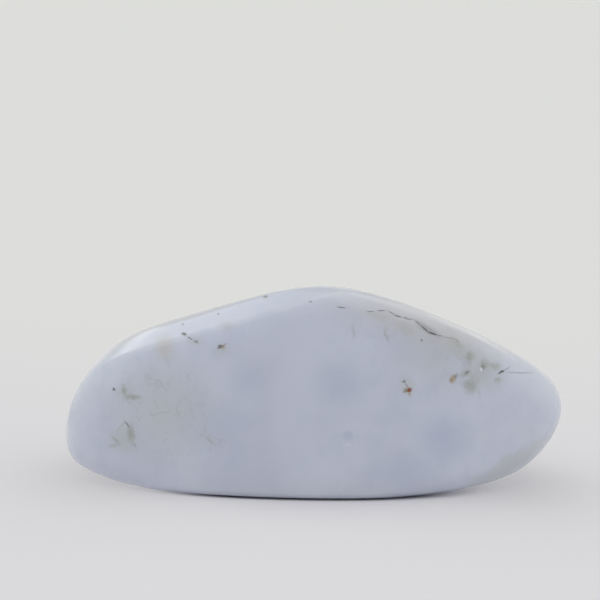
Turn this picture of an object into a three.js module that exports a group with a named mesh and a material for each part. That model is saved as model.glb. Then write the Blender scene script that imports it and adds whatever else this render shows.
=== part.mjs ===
// Agate palm stone: a pale blue pebble, cut from the rough, ground to soft flats and polished.
// Units are millimetres and degrees, +Z is up, and the stone lies on the plane z = 0.
// +X runs along its length towards the narrower end, and -Y is the wall it shows.
import * as THREE from 'three';

// Driving dimensions of the whole stone
const MIDDLE_HEIGHT = 12.5;
const HALF_DEPTH = 24.5;

// Flats around the rim, seen from the front. Each has the way it faces and its distance from the
// middle of the stone. Azimuth 0 faces the front, 90 the right end. Elevation 90 faces straight up.
const RIM_FLATS = [
  { azimuth: -90, elevation: 72.1, distance: 16.52 }, // long slope on the left of the crown
  { azimuth: 90, elevation: 84.7, distance: 17.21 }, // crown
  { azimuth: 90, elevation: 68.3, distance: 17.91 }, // long slope on the right of the crown
  { azimuth: -90, elevation: 38.6, distance: 27.01 }, // upper corner of the left end
  { azimuth: -90, elevation: 0.2, distance: 33.44 }, // left end
  { azimuth: 90, elevation: 56.1, distance: 23.63 }, // upper side of the nose
  { azimuth: 90, elevation: -42.8, distance: 34.15 }, // under side of the nose
  { azimuth: -90, elevation: -61.2, distance: 37.72 }, // lower corner of the left end
  { azimuth: -90, elevation: -75.5, distance: 18.33 }, // rise towards the left end
  { azimuth: 90, elevation: -49, distance: 27.42 }, // lower corner of the right end
  { azimuth: 90, elevation: -65.1, distance: 24.52 }, // rise towards the right end
  { azimuth: 90, elevation: -83.5, distance: 14.12 }, // long shallow rise to the right
];

// The back is rounder: an upright flat, slopes that run up to the crown, quarters towards
// the ends, and a tuck under along the bottom
const BACK_FLATS = [
  { azimuth: 180, elevation: 6, distance: HALF_DEPTH + 0.1 }, // upright back
  { azimuth: 180, elevation: 40, distance: 18.6 }, // back slope
  { azimuth: 180, elevation: 62, distance: 15.6 }, // back slope below the crown
  { azimuth: -125, elevation: 6, distance: 30.5 }, // back quarter, left
  { azimuth: 122, elevation: 4, distance: 30 }, // back quarter, right
  { azimuth: -152, elevation: 14, distance: 26.6 }, // turn of the back to the left
  { azimuth: 150, elevation: 12, distance: 26.5 }, // turn of the back to the right
  { azimuth: -135, elevation: 45, distance: 22.5 }, // upper quarter, left
  { azimuth: 135, elevation: 42, distance: 22 }, // upper quarter, right
  { azimuth: 180, elevation: -48, distance: 21.5 }, // tuck under the back
  { azimuth: -128, elevation: -42, distance: 25 }, // tuck under the left quarter
  { azimuth: 128, elevation: -42, distance: 24.5 }, // tuck under the right quarter
];
const BODY_BLEND = 1.3;

// Behind the front edge the top falls away to the back in steps: by how much, and from which y
const TOP_LEANS = [
  { lean: 7, start: -21 },
  { lean: 14, start: -7 },
];
const TOP_ELEVATION = 30;

// The front is one wall, bowed in plan like a piece of a wide drum. Its top stands a little
// further forward than its foot.
const WALL_RADIUS = 44;
const WALL_MIDDLE_X = -3;
const WALL_LEAN = THREE.MathUtils.degToRad(2);

// A narrow bevel runs along the left slope of the crown, half-way between the slope and the wall
const BEVEL_SLOPE = { azimuth: -90, elevation: 71.6, distance: 16.52 };
const BEVEL_TURN = THREE.MathUtils.degToRad(47);
const BEVEL_DEPTH = 2.4;
const BEVEL_EDGE_RADIUS = 0.25;

// The base is a flat to rest on, with a slight rocker and a lift where it runs out to the wall
const BASE_FLATS = [
  { azimuth: 0, elevation: -90, distance: 12.53 }, // flat that it rests on
  { azimuth: 90, elevation: -88.8, distance: 12.74 }, // rocker to the right
  { azimuth: -90, elevation: -89.6, distance: 12.6 }, // rocker to the left
];
const BASE_BLEND = 0.03;
const LIFT_TURN = THREE.MathUtils.degToRad(6);
const LIFT_DEPTH = 0.24;
const LIFT_EDGE_RADIUS = 0.02;
const BASE_EDGE_RADIUS = 0.7;

// Radius worn onto the edge between the front wall and the rim, by the clock angle seen from
// the front: 0 is the crown, 90 the right end, 180 the base
const FRONT_EDGE_RADII = [
  { angle: -160, radius: 1.2 },
  { angle: -110, radius: 4 },
  { angle: -85, radius: 5 },
  { angle: -65, radius: 1.2 },
  { angle: -20, radius: 0.4 },
  { angle: 2, radius: 1.4 },
  { angle: 25, radius: 2.3 },
  { angle: 65, radius: 2.4 },
  { angle: 90, radius: 4.5 },
  { angle: 120, radius: 3 },
  { angle: 150, radius: 1.6 },
];

// Mesh: rings from the middle of the front wall to the middle of the back
const RINGS = 46;
const POINTS_PER_RING = 100;
const RING_CROWDING = 0.6;
const REACH = new THREE.Vector3(32, HALF_DEPTH, 14);
const SEARCH_STEPS = 40;

const middle = new THREE.Vector3(0, 0, MIDDLE_HEIGHT);

// A flat is kept as its outward normal and its distance from the middle
function makeFlat({ azimuth, elevation, distance }) {
  const turn = THREE.MathUtils.degToRad(azimuth);
  const rise = THREE.MathUtils.degToRad(elevation);
  const normal = new THREE.Vector3(
    Math.sin(turn) * Math.cos(rise),
    -Math.cos(turn) * Math.cos(rise),
    Math.sin(rise),
  );
  return { normal, distance };
}

// The same flat again, leaning to the back from the line where y is start
function leanBack(flat, { lean, start }) {
  const angle = THREE.MathUtils.degToRad(lean);
  const normal = flat.normal.clone().multiplyScalar(Math.cos(angle));
  normal.y += Math.sin(angle);
  return { normal, distance: flat.distance * Math.cos(angle) + start * Math.sin(angle) };
}

const topFlats = RIM_FLATS.filter((flat) => flat.elevation > TOP_ELEVATION).map(makeFlat);
const leaningFlats = topFlats.flatMap((flat) => TOP_LEANS.map((step) => leanBack(flat, step)));
const bodyFlats = [...RIM_FLATS, ...BACK_FLATS].map(makeFlat).concat(leaningFlats);
const bevelSlope = makeFlat(BEVEL_SLOPE);
const baseFlats = BASE_FLATS.map(makeFlat);

function heightOverFlat(flat, offset) {
  return flat.normal.dot(offset) - flat.distance;
}

// Height over a set of flats that run softly into each other. Negative is inside all of them.
function heightOver(flats, blend, offset) {
  const heights = flats.map((flat) => heightOverFlat(flat, offset));
  const highest = Math.max(...heights);
  const sum = heights.reduce((total, height) => total + Math.exp((height - highest) / blend), 0);
  return highest + blend * Math.log(sum);
}

function heightOverWall(offset) {
  const forward = -offset.y * Math.cos(WALL_LEAN) - offset.z * Math.sin(WALL_LEAN);
  const pastAxis = Math.max(forward - HALF_DEPTH + WALL_RADIUS, 0);
  return Math.hypot(offset.x - WALL_MIDDLE_X, pastAxis) - WALL_RADIUS;
}

// Two surfaces meet in an edge that is rounded to the given radius
function roundedEdge(first, second, radius) {
  const corner = Math.hypot(Math.max(first + radius, 0), Math.max(second + radius, 0));
  return Math.min(-radius, Math.max(first, second)) + corner;
}

// A surface that leans from the second one over to the first, cut in by the given depth
function chamfer(first, second, turn, depth) {
  return first * Math.cos(turn) + second * Math.sin(turn) + depth;
}

// The radius of the front edge passes smoothly from one listed clock angle to the next
function frontEdgeRadius(offset) {
  const angle = THREE.MathUtils.radToDeg(Math.atan2(offset.x, offset.z));
  const count = FRONT_EDGE_RADII.length;
  for (let i = 0; i < count; i += 1) {
    const here = FRONT_EDGE_RADII[i];
    const next = FRONT_EDGE_RADII[(i + 1) % count];
    const span = THREE.MathUtils.euclideanModulo(next.angle - here.angle, 360);
    const along = THREE.MathUtils.euclideanModulo(angle - here.angle, 360);
    if (along <= span) {
      const share = THREE.MathUtils.smoothstep(along, 0, span);
      return THREE.MathUtils.lerp(here.radius, next.radius, share);
    }
  }
  return FRONT_EDGE_RADII[0].radius;
}

// Height over the whole stone at a point given from its middle
function heightOverStone(offset) {
  const wall = heightOverWall(offset);
  const bevel = chamfer(wall, heightOverFlat(bevelSlope, offset), BEVEL_TURN, BEVEL_DEPTH);
  const front = roundedEdge(bevel, wall, BEVEL_EDGE_RADIUS);
  const body = heightOver(bodyFlats, BODY_BLEND, offset);
  const ground = -offset.z - MIDDLE_HEIGHT;
  const lift = chamfer(ground, wall, LIFT_TURN, LIFT_DEPTH);
  const base = roundedEdge(lift, heightOver(baseFlats, BASE_BLEND, offset), LIFT_EDGE_RADIUS);
  const stone = roundedEdge(body, front, frontEdgeRadius(offset));
  return roundedEdge(stone, base, BASE_EDGE_RADIUS);
}

// The surface in one direction is found by halving the span between inside and outside.
// Below the plane it lies on, the stone is ground level, so it has a flat to rest on.
function surfacePoint(direction) {
  let inside = 5;
  let outside = 60;
  const offset = new THREE.Vector3();
  for (let i = 0; i < SEARCH_STEPS; i += 1) {
    const half = (inside + outside) / 2;
    offset.copy(direction).multiplyScalar(half);
    if (heightOverStone(offset) < 0) {
      inside = half;
    } else {
      outside = half;
    }
  }
  const point = direction.clone().multiplyScalar((inside + outside) / 2).add(middle);
  point.z = Math.max(point.z, 0);
  return point;
}

// Rings crowd together where the front and the back turn into the rim
function ringDirection(ring, step) {
  const even = (Math.PI * ring) / RINGS;
  const angle = even + (RING_CROWDING * Math.sin(4 * even)) / 4;
  const around = (2 * Math.PI * step) / POINTS_PER_RING;
  return new THREE.Vector3(
    REACH.x * Math.sin(angle) * Math.sin(around),
    -REACH.y * Math.cos(angle),
    REACH.z * Math.sin(angle) * Math.cos(around),
  ).normalize();
}

function makeStoneGeometry() {
  const points = [surfacePoint(new THREE.Vector3(0, -1, 0))];
  for (let ring = 1; ring < RINGS; ring += 1) {
    for (let step = 0; step < POINTS_PER_RING; step += 1) {
      points.push(surfacePoint(ringDirection(ring, step)));
    }
  }
  points.push(surfacePoint(new THREE.Vector3(0, 1, 0)));

  const frontPole = 0;
  const backPole = points.length - 1;
  const pointIndex = (ring, step) => 1 + (ring - 1) * POINTS_PER_RING + (step % POINTS_PER_RING);
  const faces = [];
  for (let step = 0; step < POINTS_PER_RING; step += 1) {
    faces.push(frontPole, pointIndex(1, step + 1), pointIndex(1, step));
    faces.push(backPole, pointIndex(RINGS - 1, step), pointIndex(RINGS - 1, step + 1));
  }
  for (let ring = 1; ring < RINGS - 1; ring += 1) {
    for (let step = 0; step < POINTS_PER_RING; step += 1) {
      const a = pointIndex(ring, step);
      const b = pointIndex(ring, step + 1);
      const c = pointIndex(ring + 1, step + 1);
      const d = pointIndex(ring + 1, step);
      faces.push(a, b, c);
      faces.push(a, c, d);
    }
  }

  const geometry = new THREE.BufferGeometry();
  const coordinates = points.flatMap((point) => point.toArray());
  geometry.setAttribute('position', new THREE.Float32BufferAttribute(coordinates, 3));
  geometry.setIndex(faces);
  geometry.computeVertexNormals();
  return geometry;
}

// Polished agate, pale lavender blue
const agate = new THREE.MeshStandardMaterial({ color: 0xb2b8c9, roughness: 0.16, metalness: 0 });

const palmStone = new THREE.Mesh(makeStoneGeometry(), agate);
palmStone.name = 'palm_stone';

const stone = new THREE.Group();
stone.add(palmStone);

export default stone;
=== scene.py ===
# %% [markdown]
# A palm stone of pale blue agate, lying on a white sheet.
# The real thing was cut from a lump of agate, ground to soft flats on a wheel and tumbled until it
# shone. The solid model gives its size and place, so everything here is in that same frame, in
# metres. First the frame is loaded, and the size of the bare solid's box is printed.

# %% Load the solid model
import math
import bpy
import numpy as np
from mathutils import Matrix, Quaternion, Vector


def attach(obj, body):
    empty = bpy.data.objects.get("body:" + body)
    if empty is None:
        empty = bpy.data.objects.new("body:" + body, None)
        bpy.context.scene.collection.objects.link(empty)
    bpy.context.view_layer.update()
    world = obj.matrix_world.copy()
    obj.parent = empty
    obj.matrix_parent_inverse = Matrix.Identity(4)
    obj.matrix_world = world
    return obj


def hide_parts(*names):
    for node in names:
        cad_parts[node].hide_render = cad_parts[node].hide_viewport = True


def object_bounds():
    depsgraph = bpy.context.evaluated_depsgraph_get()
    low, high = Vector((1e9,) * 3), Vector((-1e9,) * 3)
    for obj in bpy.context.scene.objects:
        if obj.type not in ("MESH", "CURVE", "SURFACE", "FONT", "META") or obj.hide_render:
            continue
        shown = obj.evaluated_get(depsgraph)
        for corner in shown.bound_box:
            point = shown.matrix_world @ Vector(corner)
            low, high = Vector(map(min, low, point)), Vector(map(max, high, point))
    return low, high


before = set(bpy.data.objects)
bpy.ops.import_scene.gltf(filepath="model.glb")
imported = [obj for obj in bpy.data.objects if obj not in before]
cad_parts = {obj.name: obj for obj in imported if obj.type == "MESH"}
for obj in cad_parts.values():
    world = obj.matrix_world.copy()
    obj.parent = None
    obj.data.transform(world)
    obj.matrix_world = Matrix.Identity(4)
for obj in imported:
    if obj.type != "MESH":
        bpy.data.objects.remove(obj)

MM = 0.001
solid_box = [list(corner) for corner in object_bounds()]
solid_size = [(high - low) / MM for low, high in zip(*solid_box)]
print("solid:", " x ".join(f"{side:.1f}" for side in solid_size), "mm")

# %% [markdown]
# The form of the stone is a set of flats that run softly into each other. Each flat faces one way
# and lies at one distance from the middle of the stone. A sculpted mesh would do as well, but the
# flats are what the grinder really made, and the few numbers of each one can be reasoned about.
# They are the solid's own, in millimetres, with one rocker of the base a little steeper, and here
# they carry a much finer skin.

# %% The flats of the stone
MIDDLE = np.array([0.0, 0.0, 12.5])

# Each flat: the way it faces (azimuth, elevation, in degrees) and its distance from the middle
RIM_FLATS = [
    (-90, 72.1, 16.52),  # long slope on the left of the crown
    (90, 84.7, 17.21),  # crown
    (90, 68.3, 17.91),  # long slope on the right of the crown
    (-90, 38.6, 27.01),  # upper corner of the left end
    (-90, 0.2, 33.44),  # left end
    (90, 56.1, 23.63),  # upper side of the nose
    (90, -42.8, 34.15),  # under side of the nose
    (-90, -61.2, 37.72),  # lower corner of the left end
    (-90, -75.5, 18.33),  # rise towards the left end
    (90, -49, 27.42),  # lower corner of the right end
    (90, -65.1, 24.52),  # rise towards the right end
    (90, -83.5, 14.12),  # long shallow rise to the right
]
BACK_FLATS = [
    (180, 6, 24.6),  # upright back
    (180, 40, 18.6),  # back slope
    (180, 62, 15.6),  # back slope below the crown
    (-125, 6, 30.5),  # back quarter, left
    (122, 4, 30),  # back quarter, right
    (-152, 14, 26.6),  # turn of the back to the left
    (150, 12, 26.5),  # turn of the back to the right
    (-135, 45, 22.5),  # upper quarter, left
    (135, 42, 22),  # upper quarter, right
    (180, -48, 21.5),  # tuck under the back
    (-128, -42, 25),  # tuck under the left quarter
    (128, -42, 24.5),  # tuck under the right quarter
]
BASE_FLATS = [
    (0, -90, 12.53),  # flat that it rests on
    (90, -88.8, 12.74),  # rocker to the right
    (-90, -89.2, 12.6),  # rocker to the left
]

# How softly the flats run into each other, in mm
BODY_BLEND = 1.3
BASE_BLEND = 0.03

# Behind the front edge the top falls away to the back in two steps: by how much, and from which y
TOP_LEANS = [(7, -21), (14, -7)]
TOP_ELEVATION = 30


def facing(azimuth, elevation):
    """The way a flat faces. Azimuth 0 is the front, 90 the right end; elevation 90 is up."""
    turn, rise = math.radians(azimuth), math.radians(elevation)
    across = math.cos(rise)
    return (math.sin(turn) * across, -math.cos(turn) * across, math.sin(rise))


def lean_back(flat, lean, start):
    """The same flat, leaning to the back from the line where y is start."""
    normal = np.array(facing(flat[0], flat[1]))
    lean = math.radians(lean)
    leaning = normal * math.cos(lean) + np.array([0, math.sin(lean), 0])
    return leaning, flat[2] * math.cos(lean) + start * math.sin(lean)


def as_planes(flats):
    """Each flat as the direction it faces and its distance from the middle."""
    return [(np.array(facing(flat[0], flat[1])), flat[2]) for flat in flats]


def height_over(planes, blend, offsets):
    """Height over flats that run softly into each other. Negative is inside all of them."""
    normals = np.array([plane[0] for plane in planes])
    heights = offsets @ normals.T - np.array([plane[1] for plane in planes])
    highest = heights.max(axis=1)
    return highest + blend * np.log(np.exp((heights - highest[:, None]) / blend).sum(axis=1))


top_flats = [flat for flat in RIM_FLATS if flat[1] > TOP_ELEVATION]
body_planes = as_planes(RIM_FLATS + BACK_FLATS)
body_planes += [lean_back(flat, lean, start) for flat in top_flats for lean, start in TOP_LEANS]
base_planes = as_planes(BASE_FLATS)
print(len(body_planes) + len(base_planes), "flats")

# %% [markdown]
# The front is one upright wall, bowed in plan like a piece of a wide drum. Along the left slope of
# the crown a narrow bevel was ground, half-way between the wall and the slope. The rest of the
# front edge is worn round. Its radius changes on the way: tight beside the bevel, wider along the
# right slope, broad at both ends. Surfaces that meet like this are joined by a quarter circle.
# The skin is found between a point inside and one outside, by halving the span again and again.
# That works because the stone has no hollow that a ray from its middle could cross twice.

# %% From flats to a surface
# The wall: how far in front of the middle it is, the radius of its bow, and where it is foremost
WALL_FRONT = 24.5
WALL_RADIUS = 44
WALL_MIDDLE = -3

# The bevel: the slope behind it, how far it turns to that from the wall, and how deep it goes
BEVEL_SLOPE = [(-90, 71.6, 16.52)]
BEVEL_TURN = math.radians(47)
BEVEL_DEPTH = 2.4
BEVEL_EDGE = 0.25

# The underside lifts off the floor where it runs out to the wall
LIFT_TURN = math.radians(6)
LIFT_DEPTH = 0.35
LIFT_EDGE = 0.02
BASE_EDGE = 0.7

# Radius worn onto the edge of the front wall, by clock angle: 0 is the crown, 90 the right end
EDGE_ANGLES = [-160, -110, -85, -65, -20, 2, 25, 65, 90, 120, 150]
EDGE_RADII = [1.2, 4, 5, 1.2, 0.4, 1.4, 2.3, 2.4, 4.5, 3, 1.6]

# Distances from the middle, in mm, that are surely inside and surely outside the stone
INSIDE = 5.0
OUTSIDE = 60.0
HALVINGS = 28

bevel_planes = as_planes(BEVEL_SLOPE)


def edge_radius(offsets):
    """The worn radius, passing smoothly from one clock angle of the list to the next."""
    angle = np.degrees(np.arctan2(offsets[:, 0], offsets[:, 2]))
    start = EDGE_ANGLES[0]
    knots = np.array(EDGE_ANGLES + [start + 360], float)
    radii = np.array(EDGE_RADII + EDGE_RADII[:1], float)
    angle = start + (angle - start) % 360
    span = np.clip(np.searchsorted(knots, angle, side="right") - 1, 0, len(EDGE_ANGLES) - 1)
    share = (angle - knots[span]) / (knots[span + 1] - knots[span])
    share = share * share * (3 - 2 * share)
    return radii[span] * (1 - share) + radii[span + 1] * share


def rounded_edge(first, second, radius):
    """Two surfaces that meet in an edge of the given radius."""
    corner = np.hypot(np.maximum(first + radius, 0), np.maximum(second + radius, 0))
    return np.minimum(-radius, np.maximum(first, second)) + corner


def chamfer(first, second, turn, depth):
    """The first surface, turned over towards the second and cut in by the given depth."""
    return first * math.cos(turn) + second * math.sin(turn) + depth


def height_over_wall(offsets):
    """Height over the bowed front wall, which is part of an upright drum."""
    past_axis = np.maximum(-offsets[:, 1] - WALL_FRONT + WALL_RADIUS, 0)
    return np.hypot(offsets[:, 0] - WALL_MIDDLE, past_axis) - WALL_RADIUS


def height_over_stone(offsets):
    """Height over the whole stone: the body, cut by its bevelled wall and by its base."""
    wall = height_over_wall(offsets)
    slope = height_over(bevel_planes, BODY_BLEND, offsets)
    bevel = chamfer(wall, slope, BEVEL_TURN, BEVEL_DEPTH)
    front = rounded_edge(bevel, wall, BEVEL_EDGE)
    body = height_over(body_planes, BODY_BLEND, offsets)
    lift = chamfer(-offsets[:, 2] - MIDDLE[2], wall, LIFT_TURN, LIFT_DEPTH)
    base = rounded_edge(lift, height_over(base_planes, BASE_BLEND, offsets), LIFT_EDGE)
    return rounded_edge(rounded_edge(body, front, edge_radius(offsets)), base, BASE_EDGE)


def surface_points(directions):
    """Where rays from the middle leave the stone. Nothing goes below the floor."""
    inside = np.full(len(directions), INSIDE)
    outside = np.full(len(directions), OUTSIDE)
    for _ in range(HALVINGS):
        half = (inside + outside) / 2
        is_in = height_over_stone(directions * half[:, None]) < 0
        inside = np.where(is_in, half, inside)
        outside = np.where(is_in, outside, half)
    points = MIDDLE + directions * ((inside + outside) / 2)[:, None]
    points[:, 2] = np.maximum(points[:, 2], 0)
    return points


reach = surface_points(np.array([[1.0, 0, 0], [0, -1, 0], [0, 0, 1]]))
print("reach to the right, front and top:", [round(float(reach[i, i]), 2) for i in range(3)])

# %% [markdown]
# A mesh for the skin could be a sphere, but a sphere crowds its corners at two poles. A box whose
# sides are cut into small squares has none, so a box is wrapped onto the stone instead: each of its
# corners gives a direction, and the direction gives a point of the skin. The squares are a third of
# a millimetre on the front face, and they crowd together a little towards the worn edges.

# %% Wrap a box of small squares onto the stone
# The box: the squares along its sides, its half size, and how much they crowd towards its edges
CELLS = np.array([220, 80, 100])
REACH = np.array([32.0, 24.5, 14.0])
CROWDING = 0.35

# A small round dimple low on the front: where it is (across, up), how wide and how deep
DIMPLE = (4.6, 8.6)
DIMPLE_RADIUS = 0.8
DIMPLE_DEPTH = 0.11


def box_of_squares(cells):
    """The corners of a box's surface squares, and for each square its four corners in turn."""
    squares = []
    for axis in range(3):
        across, up = (axis + 1) % 3, (axis + 2) % 3
        i, j = np.meshgrid(np.arange(cells[across]), np.arange(cells[up]), indexing="ij")
        for side in (0, cells[axis]):
            corners = np.full(i.shape + (4, 3), side)
            for n, (a, b) in enumerate(((0, 0), (1, 0), (1, 1), (0, 1))):
                corners[..., n, across] = i + a
                corners[..., n, up] = j + b
            if side == 0:
                corners = corners[:, :, ::-1]
            squares.append(corners.reshape(-1, 4, 3))
    squares = np.concatenate(squares)
    corners, index = np.unique(squares.reshape(-1, 3), axis=0, return_inverse=True)
    return corners, index.reshape(-1, 4)


corners, squares = box_of_squares(CELLS)
along = 2 * corners / CELLS - 1
along = along + CROWDING * (np.sin(np.pi * along / 2) - along)
directions = along * REACH
directions /= np.linalg.norm(directions, axis=1)[:, None]
skin = surface_points(directions)

off_dimple = np.hypot(skin[:, 0] - DIMPLE[0], skin[:, 2] - DIMPLE[1]) / DIMPLE_RADIUS
hollow = np.clip(1 - off_dimple ** 2, 0, 1) ** 2 * (skin[:, 1] < 0)
skin[:, 1] += hollow * DIMPLE_DEPTH

stone_mesh = bpy.data.meshes.new("stone")
stone_mesh.from_pydata((skin * MM).tolist(), [], squares.tolist())
stone_mesh.shade_smooth()
stone = bpy.data.objects.new("stone", stone_mesh)
bpy.context.collection.objects.link(stone)
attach(stone, "root")
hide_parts("palm_stone")
print(len(stone_mesh.polygons), "squares in the skin")

# %% [markdown]
# A polished stone is all shader, and shader maths reads best as plain sums. A small class wraps a
# socket, so that adding two of them makes the Math node that adds. Colours and directions keep
# their three parts, so they go through Mix and Vector Math nodes instead.

# %% A socket that can be used in a sum
# Sockets of a Mix node: its factor and two colours, and on the other side the colour it gives
MIX_FACTOR, MIX_BELOW, MIX_ABOVE = 0, 6, 7
MIX_RESULT = 2


class Wire:
    def __init__(self, finish, socket):
        self.finish = finish
        self.socket = socket

    def sum(self, how, first, second):
        kinds = [side.socket.type for side in (first, second) if isinstance(side, Wire)]
        if "RGBA" in kinds:
            settings = {"data_type": "RGBA", "blend_type": how, "clamp_result": False}
            sockets = {MIX_FACTOR: 1.0, MIX_BELOW: first, MIX_ABOVE: second}
            return self.finish.add("ShaderNodeMix", settings, sockets, MIX_RESULT)
        if "VECTOR" in kinds:
            kind = "ShaderNodeVectorMath"
        else:
            kind = "ShaderNodeMath"
        return self.finish.add(kind, {"operation": how}, {0: first, 1: second})

    def __add__(self, other):
        return self.sum("ADD", self, other)

    def __radd__(self, other):
        return self.sum("ADD", other, self)

    def __sub__(self, other):
        return self.sum("SUBTRACT", self, other)

    def __rsub__(self, other):
        return self.sum("SUBTRACT", other, self)

    def __mul__(self, other):
        return self.sum("MULTIPLY", self, other)

    def __rmul__(self, other):
        return self.sum("MULTIPLY", other, self)

    def __abs__(self):
        return self.finish.add("ShaderNodeMath", {"operation": "ABSOLUTE"}, {0: self})

    def at_least(self, other):
        return self.finish.add("ShaderNodeMath", {"operation": "MAXIMUM"}, {0: self, 1: other})

    def part(self, letter):
        return self.finish.add("ShaderNodeSeparateXYZ", {}, {0: self}, letter)

    def step(self, low, high):
        """Goes softly from 0 at low to 1 at high."""
        settings = {"interpolation_type": "SMOOTHSTEP"}
        return self.finish.add("ShaderNodeMapRange", settings, {0: self, 1: low, 2: high})


print("sums of sockets become Math, Vector Math and Mix nodes")

# %% [markdown]
# A finish is what a thing is made of: the agate, the paper under it, and the lit tent around. Each
# holds its own nodes. Every node comes from one method, which takes the kind of node, then its
# settings, then what goes into its sockets, either a number or a wire. Two helpers are used again
# and again: a colour that covers another where a mask is 1, and a cloud of noise.

# %% A finish and its nodes
class Finish:
    def __init__(self, holder):
        self.holder = holder
        holder.use_nodes = True
        self.nodes = holder.node_tree.nodes
        self.links = holder.node_tree.links
        self.nodes.clear()

    def add(self, kind, settings, sockets, output=0):
        """A new node. A setting may be a path, such as texture_mapping.scale."""
        node = self.nodes.new(kind)
        for name, value in settings.items():
            *path, last = name.split(".")
            owner = node
            for part in path:
                owner = getattr(owner, part)
            setattr(owner, last, value)
        for name, value in sockets.items():
            if isinstance(value, Wire):
                self.links.new(value.socket, node.inputs[name])
                continue
            socket = node.inputs[name]
            if socket.type in ("VECTOR", "RGBA") and isinstance(value, (int, float)):
                value = (value, value, value)
            if socket.type == "RGBA":
                value = (*value, 1.0) if len(value) == 3 else value
            socket.default_value = value
        return Wire(self, node.outputs[output]) if node.outputs else None

    def blend(self, mask, below, above):
        """The colour below, covered by the colour above where the mask is 1."""
        settings = {"data_type": "RGBA", "clamp_factor": True}
        sockets = {MIX_FACTOR: mask, MIX_BELOW: below, MIX_ABOVE: above}
        return self.add("ShaderNodeMix", settings, sockets, MIX_RESULT)

    def clouds(self, place, scale, detail=3.0, rough=0.5, twist=0.0, output="Fac"):
        """Noise between 0 and 1, with scale as the number of its clouds to a millimetre."""
        sockets = {
            "Vector": place,
            "Scale": scale,
            "Detail": detail,
            "Roughness": rough,
            "Distortion": twist,
        }
        return self.add("ShaderNodeTexNoise", {}, sockets, output)


print("every node is made by Finish.add")

# %% [markdown]
# The colours are given as numbers from 0 to 255, and turned into the linear light that a
# shader works in. The stone is hardly blue: it is a light grey with a hint of blue, and its clouds
# and veils are only a few steps away from that. Stronger colours would look painted on.

# %% Colours
def srgb(red, green, blue):
    """A colour given as 0 to 255, as the linear light that the shader works in."""
    def linear(part):
        part /= 255
        return part / 12.92 if part <= 0.04045 else ((part + 0.055) / 1.055) ** 2.4
    return (linear(red), linear(green), linear(blue))


PALE_BLUE = srgb(191, 196, 212)
MILKY = srgb(199, 204, 219)
DEEP_BLUE = srgb(180, 187, 207)
PALEST = srgb(214, 217, 226)
GREY_OLIVE = srgb(180, 182, 181)
CAP_GREY_AND_SHADE = srgb(195, 194, 199)
BEIGE = srgb(190, 188, 180)
OLIVE = srgb(156, 157, 150)
MOSS_GREEN = srgb(128, 124, 92)
DARK_GREY = srgb(150, 152, 156)
NEAR_BLACK = srgb(84, 82, 80)
OCHRE = srgb(160, 142, 104)
RUST = srgb(132, 74, 44)

print("pale blue as linear light:", [round(part, 3) for part in PALE_BLUE])

# %% [markdown]
# Agate is faintly cloudy, and all that can be seen in it has a place in the stone. So the markings
# are told by place, in millimetres from the middle of the base, and not on a flattened skin. Few of
# them have a clean edge. Shifting the place itself to and fro, by a noise, makes the edge of
# anything that is drawn there uneven, and a coarse, a middle and a fine grain suit most of them.
# The photo shows one side alone, so markings that were read from it fade out behind the front.

# %% Places in the stone
# Going across from the middle of the wall, it falls back by that distance squared over this number
WALL_BOW = 80

# How far behind the wall, in mm, the front's own markings begin to fade and are gone
MARKS_END = (3, 7)

agate = Finish(bpy.data.materials.new("agate"))
place = agate.add("ShaderNodeTexCoord", {}, {}, "Object") * (1 / MM)
off_middle = place.part("X") - WALL_MIDDLE
behind_wall = place.part("Y") + WALL_FRONT - off_middle * off_middle * (1 / WALL_BOW)
at_front = 1 - behind_wall.step(*MARKS_END)


def ragged(reach, grain):
    """The place, shifted a little to and fro, so that a marking gets an uneven edge."""
    noise = agate.clouds(place, grain, output="Color")
    sockets = {0: noise, 1: 2 * reach, 2: -reach}
    return place + agate.add("ShaderNodeVectorMath", {"operation": "MULTIPLY_ADD"}, sockets)


soft_place = ragged(reach=1.2, grain=0.35)
mid_place = ragged(reach=0.7, grain=0.8)
fine_place = ragged(reach=0.3, grain=1.4)
print("the front's own markings fade out between", *MARKS_END, "mm behind the wall")

# %% [markdown]
# A marking could be painted by hand on a flattened skin. Here it is an oval, seen from the front:
# it has a middle, a half size and a turn, and so it can be moved by changing two numbers. A
# stroke is a long thin oval between two points. Many of them together are one mask, which takes
# the strongest of them at each point, so that they don't add up where they cross.

# %% Ovals and strokes
# An oval goes this many mm straight through the stone, so that only across and up count
STRAIGHT_THROUGH = 1000

# Half of a stroke's own length, and a little over, so that strokes in a chain join up
HALF_AND_OVER = 0.56


def spot(where, middle, half_size, turn=0.0, core=0.3):
    """A mask that is 1 inside an oval on the front wall and fades out at its edge."""
    settings = {
        "gradient_type": "SPHERICAL",
        "texture_mapping.vector_type": "TEXTURE",
        "texture_mapping.translation": (middle[0], 0, middle[1]),
        "texture_mapping.rotation": (0, math.radians(turn), 0),
        "texture_mapping.scale": (half_size[0], STRAIGHT_THROUGH, half_size[1]),
    }
    nearness = agate.add("ShaderNodeTexGradient", settings, {"Vector": where}, "Fac")
    return nearness.step(0, 1 - core)


def stroke(where, start, end, width, core=0.3):
    """A spot drawn out from one point to another, like the stroke of a fine brush."""
    across, up = end[0] - start[0], end[1] - start[1]
    middle = ((start[0] + end[0]) / 2, (start[1] + end[1]) / 2)
    half_length = math.hypot(across, up) * HALF_AND_OVER + width / 2
    turn = -math.degrees(math.atan2(up, across))
    return spot(where, middle, (half_length, width / 2), turn, core)


def together(masks):
    """The strongest of many masks at each point."""
    total = masks[0]
    for mask in masks[1:]:
        total = total.at_least(mask)
    return total


def spots(where, core, rows):
    """One mask of many ovals. Each row: middle, half size, turn, strength."""
    return together([
        spot(where, middle, half_size, turn, core) * strength
        for middle, half_size, turn, strength in rows
    ])


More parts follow.
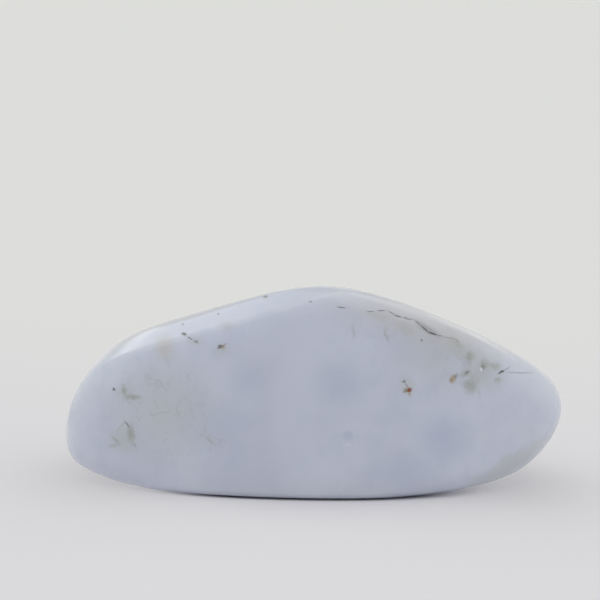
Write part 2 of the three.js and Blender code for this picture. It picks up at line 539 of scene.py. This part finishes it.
def strokes(where, core, rows):
    """One mask of many strokes. Each row: start, end, width, strength."""
    return together([
        stroke(where, start, end, width, core) * strength
        for start, end, width, strength in rows
    ])


print("a mark is an oval or a stroke, in mm")

# %% [markdown]
# The body of the agate is milky in some parts and a deeper blue in others, with soft borders. Noise
# gives the clouds that carry on all around. The column of light in the middle of the front and
# the blue patches beside it can be told apart by eye, so each of them gets a place of its own.

# %% Clouds
# The values of the noise between which the clouds and the wisps come in
MILKY_FROM = (0.35, 0.65)
WISPS_FROM = (0.45, 0.75)
WISP_STRENGTH = 0.35
COLUMN_STRENGTH = 0.6
PATCH_STRENGTH = 0.8

clouds = agate.clouds(place, scale=0.07, rough=0.55)
wisps = agate.clouds(soft_place, scale=0.3, detail=4.0, rough=0.6)
colour = agate.blend(clouds.step(*MILKY_FROM), PALE_BLUE, MILKY)
colour = agate.blend(wisps.step(*WISPS_FROM) * WISP_STRENGTH, colour, DEEP_BLUE)

light_column = spot(soft_place, (-2.2, 12), (4.5, 13), core=0.4)
blue_patches = spots(soft_place, 0, [
    ((3.4, 15.4), (5.4, 4.6), 0, 0.7),
    ((-8.6, 15.4), (3.6, 4.6), 0, 0.5),
    ((17.2, 8), (6, 5), 20, 1),
    ((-13.5, 10), (6.5, 5), 0, 0.6),
    ((13, 4), (8, 4), 0, 0.6),
])
colour = agate.blend(light_column * at_front * COLUMN_STRENGTH, colour, MILKY)
colour = agate.blend(blue_patches * at_front * PATCH_STRENGTH, colour, DEEP_BLUE)
print("clouds, a light column and blue patches")

# %% [markdown]
# Moss and iron grew into the stone before it was cut. Near the skin they show as grey and beige
# veils with soft edges. They could be left to one large noise, but on this stone they keep to the
# two ends and to the right of the crown, so each veil is an oval with a place. One long grey veil
# on the lower rim of the right end is painted shade, where the rim faces down to the shaded floor.
# A grey cap runs all along the top edge, most of all on the right. It is partly the stone's own
# grey and partly painted shade, which dims the highlight there and the thin band above it that
# mirrors the darker room behind. The cap is told by height, and behind the front edge it breaks up
# into patches.

# %% Veils
VEIL_STRENGTH = 0.75
BEIGE_STRENGTH = 0.6

# The cap, in mm: its border falls by this much for each step aside, and lies between these heights.
# It comes in towards the right, or anywhere behind the wall, and is broken up by noise further back
CAP_SLOPE = 0.25
CAP_HEIGHT = (22.5, 27)
CAP_RIGHT = (-6, 14)
CAP_BEHIND = (1.5, 3.5)
CAP_PATCHES_FROM = (0.46, 0.62)
CAP_PATCH_STRENGTH = 0.7
CAP_STRENGTH = 0.85

left_veils = together([
    spots(mid_place, 0, [
        ((-24.6, 6.8), (3.4, 3.2), 0, 0.7),
        ((-24.4, 12.8), (3.0, 2.2), 0, 0.7),
        ((-15.6, 20.4), (1.8, 1.2), 0, 0.5),
        ((-12.0, 19.4), (1.6, 1.3), 0, 0.5),
        ((-11.5, 22.6), (1.6, 0.9), 0, 0.5),
    ]),
    spots(soft_place, 0, [
        ((-19.5, 11), (10, 10), 0, 0.6),
    ]),
])
right_veils_and_rim_shade = together([
    spots(soft_place, 0.1, [
        ((19.5, 19.4), (6.5, 2.6), 32, 0.8),
    ]),
    spots(mid_place, 0, [
        ((22.4, 17.2), (3.6, 1.9), 10, 1),
        ((12.1, 15.2), (1.8, 2.1), 0, 0.6),
        ((8.6, 24.3), (3.6, 0.9), 8, 0.7),
        ((11.9, 22.6), (2.8, 1.3), 25, 0.7),
        ((15.4, 20.9), (2.4, 1.5), 20, 0.6),
    ]),
    spots(soft_place, 0, [
        ((22, 16.6), (5.5, 3.4), 10, 0.8),
        ((16, 18.5), (8, 5), 20, 0.5),
    ]),
    # Painted shade: a long veil on the lower rim of the right end, where the rim faces down to the
    # shaded floor
    spots(soft_place, 0.3, [
        ((26.5, 3.7), (9.5, 2.0), -26, 0.6),
    ]),
])
beige = spot(mid_place, (-19.5, 19.2), (2.3, 2.6), core=0)

# The grey cap is partly the stone's own grey and partly painted shade: it dims the highlight along
# the top edge and the thin band above it, where the polish mirrors the darker room behind
cap_place = place.part("X").step(*CAP_RIGHT).at_least(behind_wall.step(*CAP_BEHIND))
cap_height = place.part("Z") + abs(place.part("X")) * CAP_SLOPE
cap = cap_height.step(*CAP_HEIGHT) * cap_place
cap_patches = agate.clouds(soft_place, scale=0.1).step(*CAP_PATCHES_FROM) * CAP_PATCH_STRENGTH
colour = agate.blend(cap * at_front.at_least(cap_patches) * CAP_STRENGTH, colour, CAP_GREY_AND_SHADE)

# The right veils carry painted shade on the lower rim of the right end as well
veils = together([left_veils, right_veils_and_rim_shade])
colour = agate.blend(veils * at_front * VEIL_STRENGTH, colour, GREY_OLIVE)
colour = agate.blend(beige * at_front * BEIGE_STRENGTH, colour, BEIGE)
print("veils at both ends and a grey cap over them")

# %% [markdown]
# A net of very fine branching threads can just be made out, most of it in the left half. Drawing
# them one by one would be endless, and a net of straight cells would look like crazed glaze. Noise
# has a thin winding line wherever it is at its middle value, and that line branches like moss.

# %% Threads of moss
THREAD_MIDDLE = 0.5
THREAD_WIDTH = 0.042
THREADS_FROM = (0.4, 0.62)
THREAD_STRENGTH = 0.34

threads = agate.clouds(fine_place, scale=0.42, detail=4.0, rough=0.6, twist=0.6)
thin_line = 1 - abs(threads - THREAD_MIDDLE).step(0.0, THREAD_WIDTH)
thin_line = thin_line * agate.clouds(place, scale=0.4, detail=2.0).step(*THREADS_FROM)
mossy = together([
    spots(soft_place, 0.2, [
        ((-19.5, 11), (9.5, 9), 0, 1),
    ]),
    spots(soft_place, 0.3, [
        ((-13.4, 7.4), (3, 2), 0, 1),
        ((21, 16.4), (6, 3.4), 8, 1),
        ((8, 22.6), (5, 2.4), 0, 0.7),
    ]),
])
colour = agate.blend(thin_line * mossy * at_front * THREAD_STRENGTH, colour, DARK_GREY)
print("threads of moss, drawn by a noise where it is half")

# %% [markdown]
# Moss doesn't stop at an edge, so the sides and the back have some too. Nothing is known of where
# it lies there, so noise alone places it: a few veils with soft borders, threads inside them, and
# a grain here and there. They are kept faint, because the front is the side to look at.

# %% Moss on the sides and the back
BACK_VEILS_FROM = (0.52, 0.68)
BACK_VEIL_STRENGTH = 0.6
BACK_THREAD_STRENGTH = 0.5
BACK_GRAINS_FROM = (0.68, 0.72)
BACK_GRAIN_STRENGTH = 0.6

back_veils = agate.clouds(soft_place, scale=0.1, detail=2.0).step(*BACK_VEILS_FROM)
back_veils = back_veils * (1 - at_front)
back_grains = agate.clouds(fine_place, scale=0.9, detail=2.0).step(*BACK_GRAINS_FROM)
back_grains = back_grains * back_veils
colour = agate.blend(back_veils * BACK_VEIL_STRENGTH, colour, GREY_OLIVE)
colour = agate.blend(thin_line * back_veils * BACK_THREAD_STRENGTH, colour, DARK_GREY)
colour = agate.blend(back_grains * BACK_GRAIN_STRENGTH, colour, OLIVE)
print("veils, threads and grains behind the front")

# %% [markdown]
# Some of the moss is dense enough to have a shape: the hook and the bent leg at the left end, the
# blots around the ochre speck at the right. They are too few and too odd to leave to chance. Each
# is an oval or a short stroke, and together they are one mask, so that they darken as one thing.

# %% Blots of moss
BLOT_STRENGTH = 0.72

blots = together([
    strokes(fine_place, 0, [
        ((-24.9, 13.8), (-24.65, 12.4), 0.95, 0.9),
        ((-24.6, 12.35), (-22.5, 12.45), 1.15, 1),
        ((-23.85, 8.6), (-23.75, 6.6), 1.6, 1),
        ((-23.7, 6.9), (-23.0, 5.6), 0.6, 0.8),
        ((-24.5, 9.0), (-25.4, 8.3), 0.4, 0.6),
        ((-25.3, 8.4), (-25.8, 7.5), 0.4, 0.5),
        ((-26.4, 7.0), (-25.2, 6.0), 0.7, 0.8),
        ((-25.2, 6.1), (-27.0, 5.4), 0.9, 0.5),
        ((-16.8, 16.4), (-16.0, 15.0), 0.4, 0.4),
        ((-21.4, 10.1), (-18.3, 11.1), 0.5, 0.35),
    ]),
    strokes(mid_place, 0, [
        ((-14.2, 8.1), (-12.5, 6.7), 1.1, 0.5),
        ((21.7, 14.8), (21.8, 13.0), 0.6, 0.5),
        ((4.75, 23.4), (4.95, 21.3), 0.7, 0.5),
        ((9.0, 22.7), (9.6, 20.6), 0.8, 0.6),
    ]),
    spots(mid_place, 0, [
        ((20.5, 18.7), (0.8, 1.1), 20, 0.8),
        ((18.5, 20.6), (1.9, 0.6), 25, 0.5),
        ((19.9, 16.5), (1.1, 0.7), 0, 0.9),
        ((20.6, 14.9), (1.7, 1.7), 0, 0.9),
        ((22.4, 17.6), (0.9, 0.8), 0, 0.8),
        ((23.8, 17.3), (1.3, 0.7), 10, 0.7),
        ((24.3, 15.3), (0.9, 0.5), 0, 0.8),
    ]),
    spots(fine_place, 0, [
        ((-6.6, 26.2), (0.6, 0.25), 0, 0.8),
    ]),
])
colour = agate.blend(blots * at_front * BLOT_STRENGTH, colour, OLIVE)
print(len(agate.nodes), "nodes so far")

# %% [markdown]
# A thin crack runs along the right of the crown, broken off in places and darkest where it dips.
# It is short enough to be drawn as a chain of straight strokes, each with its own strength. The
# same chain is sunk into the skin further down. A real groove of that width would need squares a
# tenth as wide as these, for a line that is hardly a hair across.

# %% The crack
SHADE_STRENGTH = 0.35

crack = together([
    strokes(place, 0.3, [
        ((2.7, 25.42), (3.9, 25.25), 0.26, 0.7),
        ((6.5, 24.8), (7.6, 24.84), 0.22, 0.6),
        ((7.9, 24.93), (9.1, 24.93), 0.22, 0.7),
        ((10.2, 24.36), (11.2, 24.05), 0.28, 0.8),
        ((12.9, 23.7), (13.8, 22.9), 0.26, 0.7),
        ((13.6, 23.1), (14.9, 21.9), 0.32, 0.9),
        ((14.5, 22.15), (16.1, 21.6), 0.36, 1),
        ((15.9, 21.6), (16.7, 21.5), 0.22, 0.6),
    ]),
    strokes(fine_place, 0.3, [
        ((9.1, 24.9), (10.4, 24.32), 0.24, 0.5),
        ((11.0, 24.08), (13.0, 23.6), 0.24, 0.5),
        ((16.5, 21.45), (18.4, 21.05), 0.24, 0.4),
        ((18.2, 21.1), (19.1, 20.5), 0.24, 0.3),
    ]),
])
crack_shade = stroke(fine_place, (12.8, 23.6), (16.4, 21.4), 1.5, core=0) * SHADE_STRENGTH
print("a crack along the right of the crown")

# %% [markdown]
# The darkest marks are small grains of moss that lie right at the skin, and beside a few of them
# iron has rusted. There are about twenty of them, and each catches the eye, so each is placed.
# The brown of the rust is painted over the dark grains, because the iron came later.

# %% Specks
MOSS_GREEN_STRENGTH = 0.8
OCHRE_STRENGTH = 0.9

specks = together([
    spots(fine_place, 0.3, [
        ((-26.2, 13.15), (0.3, 0.26), 0, 0.85),
        ((-17.0, 21.12), (0.5, 0.22), 6, 0.85),
        ((-15.4, 20.3), (0.42, 0.28), 0, 0.45),
        ((-12.2, 19.8), (0.6, 0.36), -20, 0.8),
        ((13.9, 21.0), (0.26, 0.26), 0, 0.6),
        ((11.72, 15.7), (0.4, 0.28), -20, 0.75),
        ((-17.3, 22.25), (0.24, 0.18), 0, 0.5),
        ((-12.6, 23.9), (0.24, 0.15), 0, 0.5),
        ((-6.5, 26.3), (0.32, 0.14), 0, 0.5),
        ((-0.8, 26.0), (0.4, 0.17), 0, 0.6),
    ]),
    strokes(fine_place, 0.3, [
        ((-24.65, 9.2), (-23.95, 8.35), 0.36, 0.6),
        ((-16.6, 20.85), (-15.9, 20.5), 0.26, 0.85),
        ((11.75, 15.6), (12.3, 14.8), 0.3, 0.5),
        ((24.4, 16.2), (25.2, 16.45), 0.5, 0.95),
        ((25.1, 16.45), (26.0, 16.95), 0.26, 0.45),
    ]),
    spots(fine_place, 0, [
        ((18.6, 16.2), (0.42, 0.6), 20, 0.6),
    ]),
    strokes(place, 0.3, [
        ((25.0, 16.35), (29.9, 15.6), 0.26, 0.35),
    ]),
    spots(mid_place, 0, [
        ((22.25, 17.3), (0.35, 0.5), 20, 0.5),
        ((20.0, 16.6), (0.45, 0.3), 0, 0.5),
    ]),
])
dark = together([specks, crack, crack_shade])
colour = agate.blend(dark * at_front, colour, NEAR_BLACK)

moss_green = spot(fine_place, (12.0, 14.5), (0.6, 0.5), core=0)
ochre = together([
    spots(fine_place, 0.1, [
        ((18.15, 15.8), (0.62, 0.9), 15, 1),
    ]),
    spots(fine_place, 0, [
        ((-11.8, 19.75), (0.45, 0.36), 0, 0.8),
        ((12.55, 13.95), (0.4, 0.34), 0, 0.9),
    ]),
])
rust = together([
    spots(fine_place, 0.3, [
        ((12.45, 14.5), (0.42, 0.46), 0, 1),
    ]),
    strokes(fine_place, 0, [
        ((-12.0, 19.95), (-11.5, 20.25), 0.3, 0.6),
    ]),
    spots(fine_place, 0, [
        ((18.0, 15.6), (0.3, 0.5), 10, 0.35),
    ]),
])
colour = agate.blend(moss_green * at_front * MOSS_GREEN_STRENGTH, colour, MOSS_GREEN)
colour = agate.blend(ochre * at_front * OCHRE_STRENGTH, colour, OCHRE)
colour = agate.blend(rust * at_front, colour, RUST)
print("specks of moss, ochre and rust")

# %% [markdown]
# Low on the front there is a small round dimple with a pale crescent under it, where a chip came
# out before the last polish, and near the ochre speck a white grain. The dimple itself is in the
# mesh. Only its tint is given here.

# %% Pale marks
CRESCENT_DROP = 1.15
CRESCENT_STRENGTH = 0.5
DIMPLE_TINT_STRENGTH = 0.6

crescent = spot(place, (DIMPLE[0], DIMPLE[1] - CRESCENT_DROP), (0.75, 0.3), core=0.2)
white_grain = spot(fine_place, (22.05, 16.9), (0.22, 0.26))
pale_marks = together([crescent * CRESCENT_STRENGTH, white_grain])
dimple_tint = spot(place, DIMPLE, (DIMPLE_RADIUS, DIMPLE_RADIUS), core=0.6)
colour = agate.blend(pale_marks * at_front, colour, PALEST)
colour = agate.blend(dimple_tint * at_front * DIMPLE_TINT_STRENGTH, colour, DEEP_BLUE)
print("a dimple", 2 * DIMPLE_RADIUS, "mm wide and", DIMPLE_DEPTH, "mm deep")

# %% [markdown]
# Light enters agate and comes out again a little further on, so the gloss of the polish lies over
# a body that scatters. The polish waves a little, as tumbled stone does, and it is duller where
# the crack and the soft iron come up. A clear coat over a matt stone would be nearly the same, but
# it would have to be tuned twice.
# Light that the paper gets by way of the stone needs none of the markings, so such rays meet a
# plain stone. Its thin ends let most of that light through, as the real ones do, and that is why
# the shade under them is so faint.

# %% The skin of the agate
POLISH_ROUGHNESS = 0.07
WISP_ROUGHNESS = 0.04
WORN_ROUGHNESS = 0.3
AGATE_IOR = 1.54
SCATTER_WEIGHT = 0.8
SCATTER_REACH = 0.006

# How deep the bump can go, and the shares of that depth for the ripples and for the crack
BUMP_DEPTH = 0.1 * MM
RIPPLE_DEPTH = 0.6
FINE_RIPPLES = 0.06
CRACK_DEPTH = 0.8

# The ends let light through: none of it as far as THICK_REACH, in mm aside from where the stone
# is thickest, and the most of it from THIN_REACH on
THICKEST_AT = 1
THICK_REACH = 12
THIN_REACH = 25
THIN_CLEARNESS = 0.95

ripples = agate.clouds(place, scale=0.25, detail=2.0)
ripples = ripples + agate.clouds(place, scale=1.6, detail=2.0) * FINE_RIPPLES
bump = agate.add("ShaderNodeBump", {}, {
    "Strength": 0.6,
    "Distance": BUMP_DEPTH,
    "Height": ripples * RIPPLE_DEPTH - crack * at_front * CRACK_DEPTH,
})
worn = (crack + rust + ochre) * at_front
gloss = agate.add("ShaderNodeBsdfPrincipled", {}, {
    "Base Color": colour,
    "Roughness": worn * WORN_ROUGHNESS + POLISH_ROUGHNESS + wisps * WISP_ROUGHNESS,
    "IOR": AGATE_IOR,
    "Normal": bump,
    "Subsurface Weight": SCATTER_WEIGHT,
    "Subsurface Radius": (1.0, 1.0, 1.0),
    "Subsurface Scale": SCATTER_REACH,
})
plain = agate.add("ShaderNodeBsdfDiffuse", {}, {"Color": PALE_BLUE})
clear = agate.add("ShaderNodeBsdfTransparent", {}, {"Color": (1.0, 1.0, 1.0)})
thin = abs(place.part("X") - THICKEST_AT).step(THICK_REACH, THIN_REACH) * THIN_CLEARNESS
body = agate.add("ShaderNodeMixShader", {}, {"Fac": thin, 1: plain, 2: clear})
spread_ray = agate.add("ShaderNodeLightPath", {}, {}, "Is Diffuse Ray")
shade_ray = agate.add("ShaderNodeLightPath", {}, {}, "Is Shadow Ray")
look = agate.add("ShaderNodeMixShader", {}, {"Fac": spread_ray, 1: gloss, 2: body})
look = agate.add("ShaderNodeMixShader", {}, {"Fac": shade_ray, 1: look, 2: body})
agate.add("ShaderNodeOutputMaterial", {}, {"Surface": look})
stone_mesh.materials.append(agate.holder)
print(len(agate.nodes), "nodes in the agate")

# %% [markdown]
# The stone lies on a wide sheet of white paper. It is so wide that its far edge never shows, so
# one plane is floor and background in one. Near by, the paper is painted a shade darker and bluer
# than far off: painted shade, for a floor that gets less light than the background beyond it.

# %% The sheet it lies on
# In metres: how wide the sheet is, and how far back its near colour turns into the far one
SHEET = 120.0
FAR_FROM = (0.02, 0.25)
# Painted shade: the near colour is darker than the far one, for the floor against the brighter
# background
SHADED_NEAR_PAPER = srgb(224, 222, 227)
FAR_PAPER = srgb(226, 226, 226)

edge = SHEET / 2
sheet_corners = [(-edge, -edge, 0), (edge, -edge, 0), (edge, edge, 0), (-edge, edge, 0)]
sheet_mesh = bpy.data.meshes.new("sheet")
sheet_mesh.from_pydata(sheet_corners, [], [(0, 1, 2, 3)])
sheet = bpy.data.objects.new("sheet", sheet_mesh)
bpy.context.collection.objects.link(sheet)

paper = Finish(bpy.data.materials.new("paper"))
far = paper.add("ShaderNodeTexCoord", {}, {}, "Object").part("Y").step(*FAR_FROM)
paper_look = paper.add("ShaderNodeBsdfPrincipled", {}, {
    "Base Color": paper.blend(far, SHADED_NEAR_PAPER, FAR_PAPER),
    "Roughness": 0.9,
    "Specular IOR Level": 0.0,
})
paper.add("ShaderNodeOutputMaterial", {}, {"Surface": paper_look})
sheet_mesh.materials.append(paper.holder)
print("a sheet", SHEET, "m wide")

# %% [markdown]
# A polished stone shows the room around it in its skin, so the room decides where it shines. Lamps
# would leave small hard spots. A tent of white cloth gives the broad soft bands of this stone: it
# glows evenly, a little more from the front below and above a plain band, less from high at the
# back, and most from two panels, one on each side. It is painted on the world, by the way one
# looks. The camera sees it plain.

# %% Light
BACKDROP = srgb(221, 222, 219)

# How bright each part of the tent is
ROOM_GLOW = 1.12
FRONT_GLOW = 1.37
BACK_HIGH_GLOW = 0.6
PANEL_GLOW = 2.9
RIGHT_PANEL_LOSS = 0.25

# Where each part of the tent begins or ends. 1 is straight to the front, back, top or side
FRONT_FROM = (0.2, 0.8)
BACK_FROM = (0.1, 0.6)
LOW_UNTIL = (0.15, 0.4)
HIGH_FROM = (0.4, 0.65)
PANEL_FROM = (0.34, 0.46)
PANEL_UNTIL = (0.62, 0.78)
PANEL_BACK_FROM = (-0.2, 0)
PANEL_RISE_FROM = (0.25, 0.45)
RIGHT_FROM = (0, 0.3)

tent = Finish(bpy.data.worlds.new("tent"))
bpy.context.scene.world = tent.holder
way = tent.add("ShaderNodeTexCoord", {}, {}, "Generated")
way = tent.add("ShaderNodeVectorMath", {"operation": "NORMALIZE"}, {0: way})
rise = way.part("Z")
front = (0 - way.part("Y")).step(*FRONT_FROM)
back = way.part("Y").step(*BACK_FROM)
low = 1 - rise.step(*LOW_UNTIL)
high = rise.step(*HIGH_FROM)
aside = abs(way.part("X"))

panels = aside.step(*PANEL_FROM) * (1 - aside.step(*PANEL_UNTIL))
panels = panels * way.part("Y").step(*PANEL_BACK_FROM) * rise.step(*PANEL_RISE_FROM)
panels = panels * (1 - way.part("X").step(*RIGHT_FROM) * RIGHT_PANEL_LOSS)
glow = ROOM_GLOW + front * (low + high) * (FRONT_GLOW - ROOM_GLOW)
glow = glow + back * high * (BACK_HIGH_GLOW - ROOM_GLOW)
glow = glow + panels * (PANEL_GLOW - ROOM_GLOW)
seen = tent.add("ShaderNodeLightPath", {}, {}, "Is Camera Ray")
glow = seen + (1 - seen) * glow
sky = tent.add("ShaderNodeBackground", {}, {"Color": BACKDROP, "Strength": glow})
tent.add("ShaderNodeOutputWorld", {}, {"Surface": sky})
print("panels:", round(PANEL_GLOW / ROOM_GLOW, 1), "times as bright as the tent")

# %% [markdown]
# The camera stands well back, a little higher than the stone, and looks slightly down on it. From
# close by the ends would look smaller than they are. The lens follows from the distance and from
# how wide a piece of the wall is to fill the image, so one can be changed without the other.
# It is turned by a degree and a half, because the stone was not quite level in the view.

# %% Camera
# Lengths in metres, but the sensor in mm. The distance is counted from the front of the wall
CAMERA_DISTANCE = 0.4187
CAMERA_HEIGHT = 0.0660
AIM_HEIGHT = 0.02621
AIM_SIDE = -0.00206
ROLL = math.radians(1.43)
VIEW_WIDTH = 0.07706
SENSOR = 36
CLOSEST_SEEN = 0.05

camera_data = bpy.data.cameras.new("camera")
camera_data.sensor_width = SENSOR
camera_data.lens = SENSOR * CAMERA_DISTANCE / VIEW_WIDTH
camera_data.clip_start = CLOSEST_SEEN
camera = bpy.data.objects.new("camera", camera_data)
camera.location = (AIM_SIDE, -WALL_FRONT * MM - CAMERA_DISTANCE, CAMERA_HEIGHT)
tilt = math.pi / 2 + math.atan((AIM_HEIGHT - CAMERA_HEIGHT) / CAMERA_DISTANCE)
camera.rotation_mode = "QUATERNION"
camera.rotation_quaternion = Quaternion((1, 0, 0), tilt) @ Quaternion((0, 0, 1), ROLL)
bpy.context.collection.objects.link(camera)
bpy.context.scene.camera = camera
bpy.context.scene.view_settings.view_transform = "Standard"
print("lens:", round(camera_data.lens), "mm")
print("looking down by", round(90 - math.degrees(tilt), 1), "degrees")
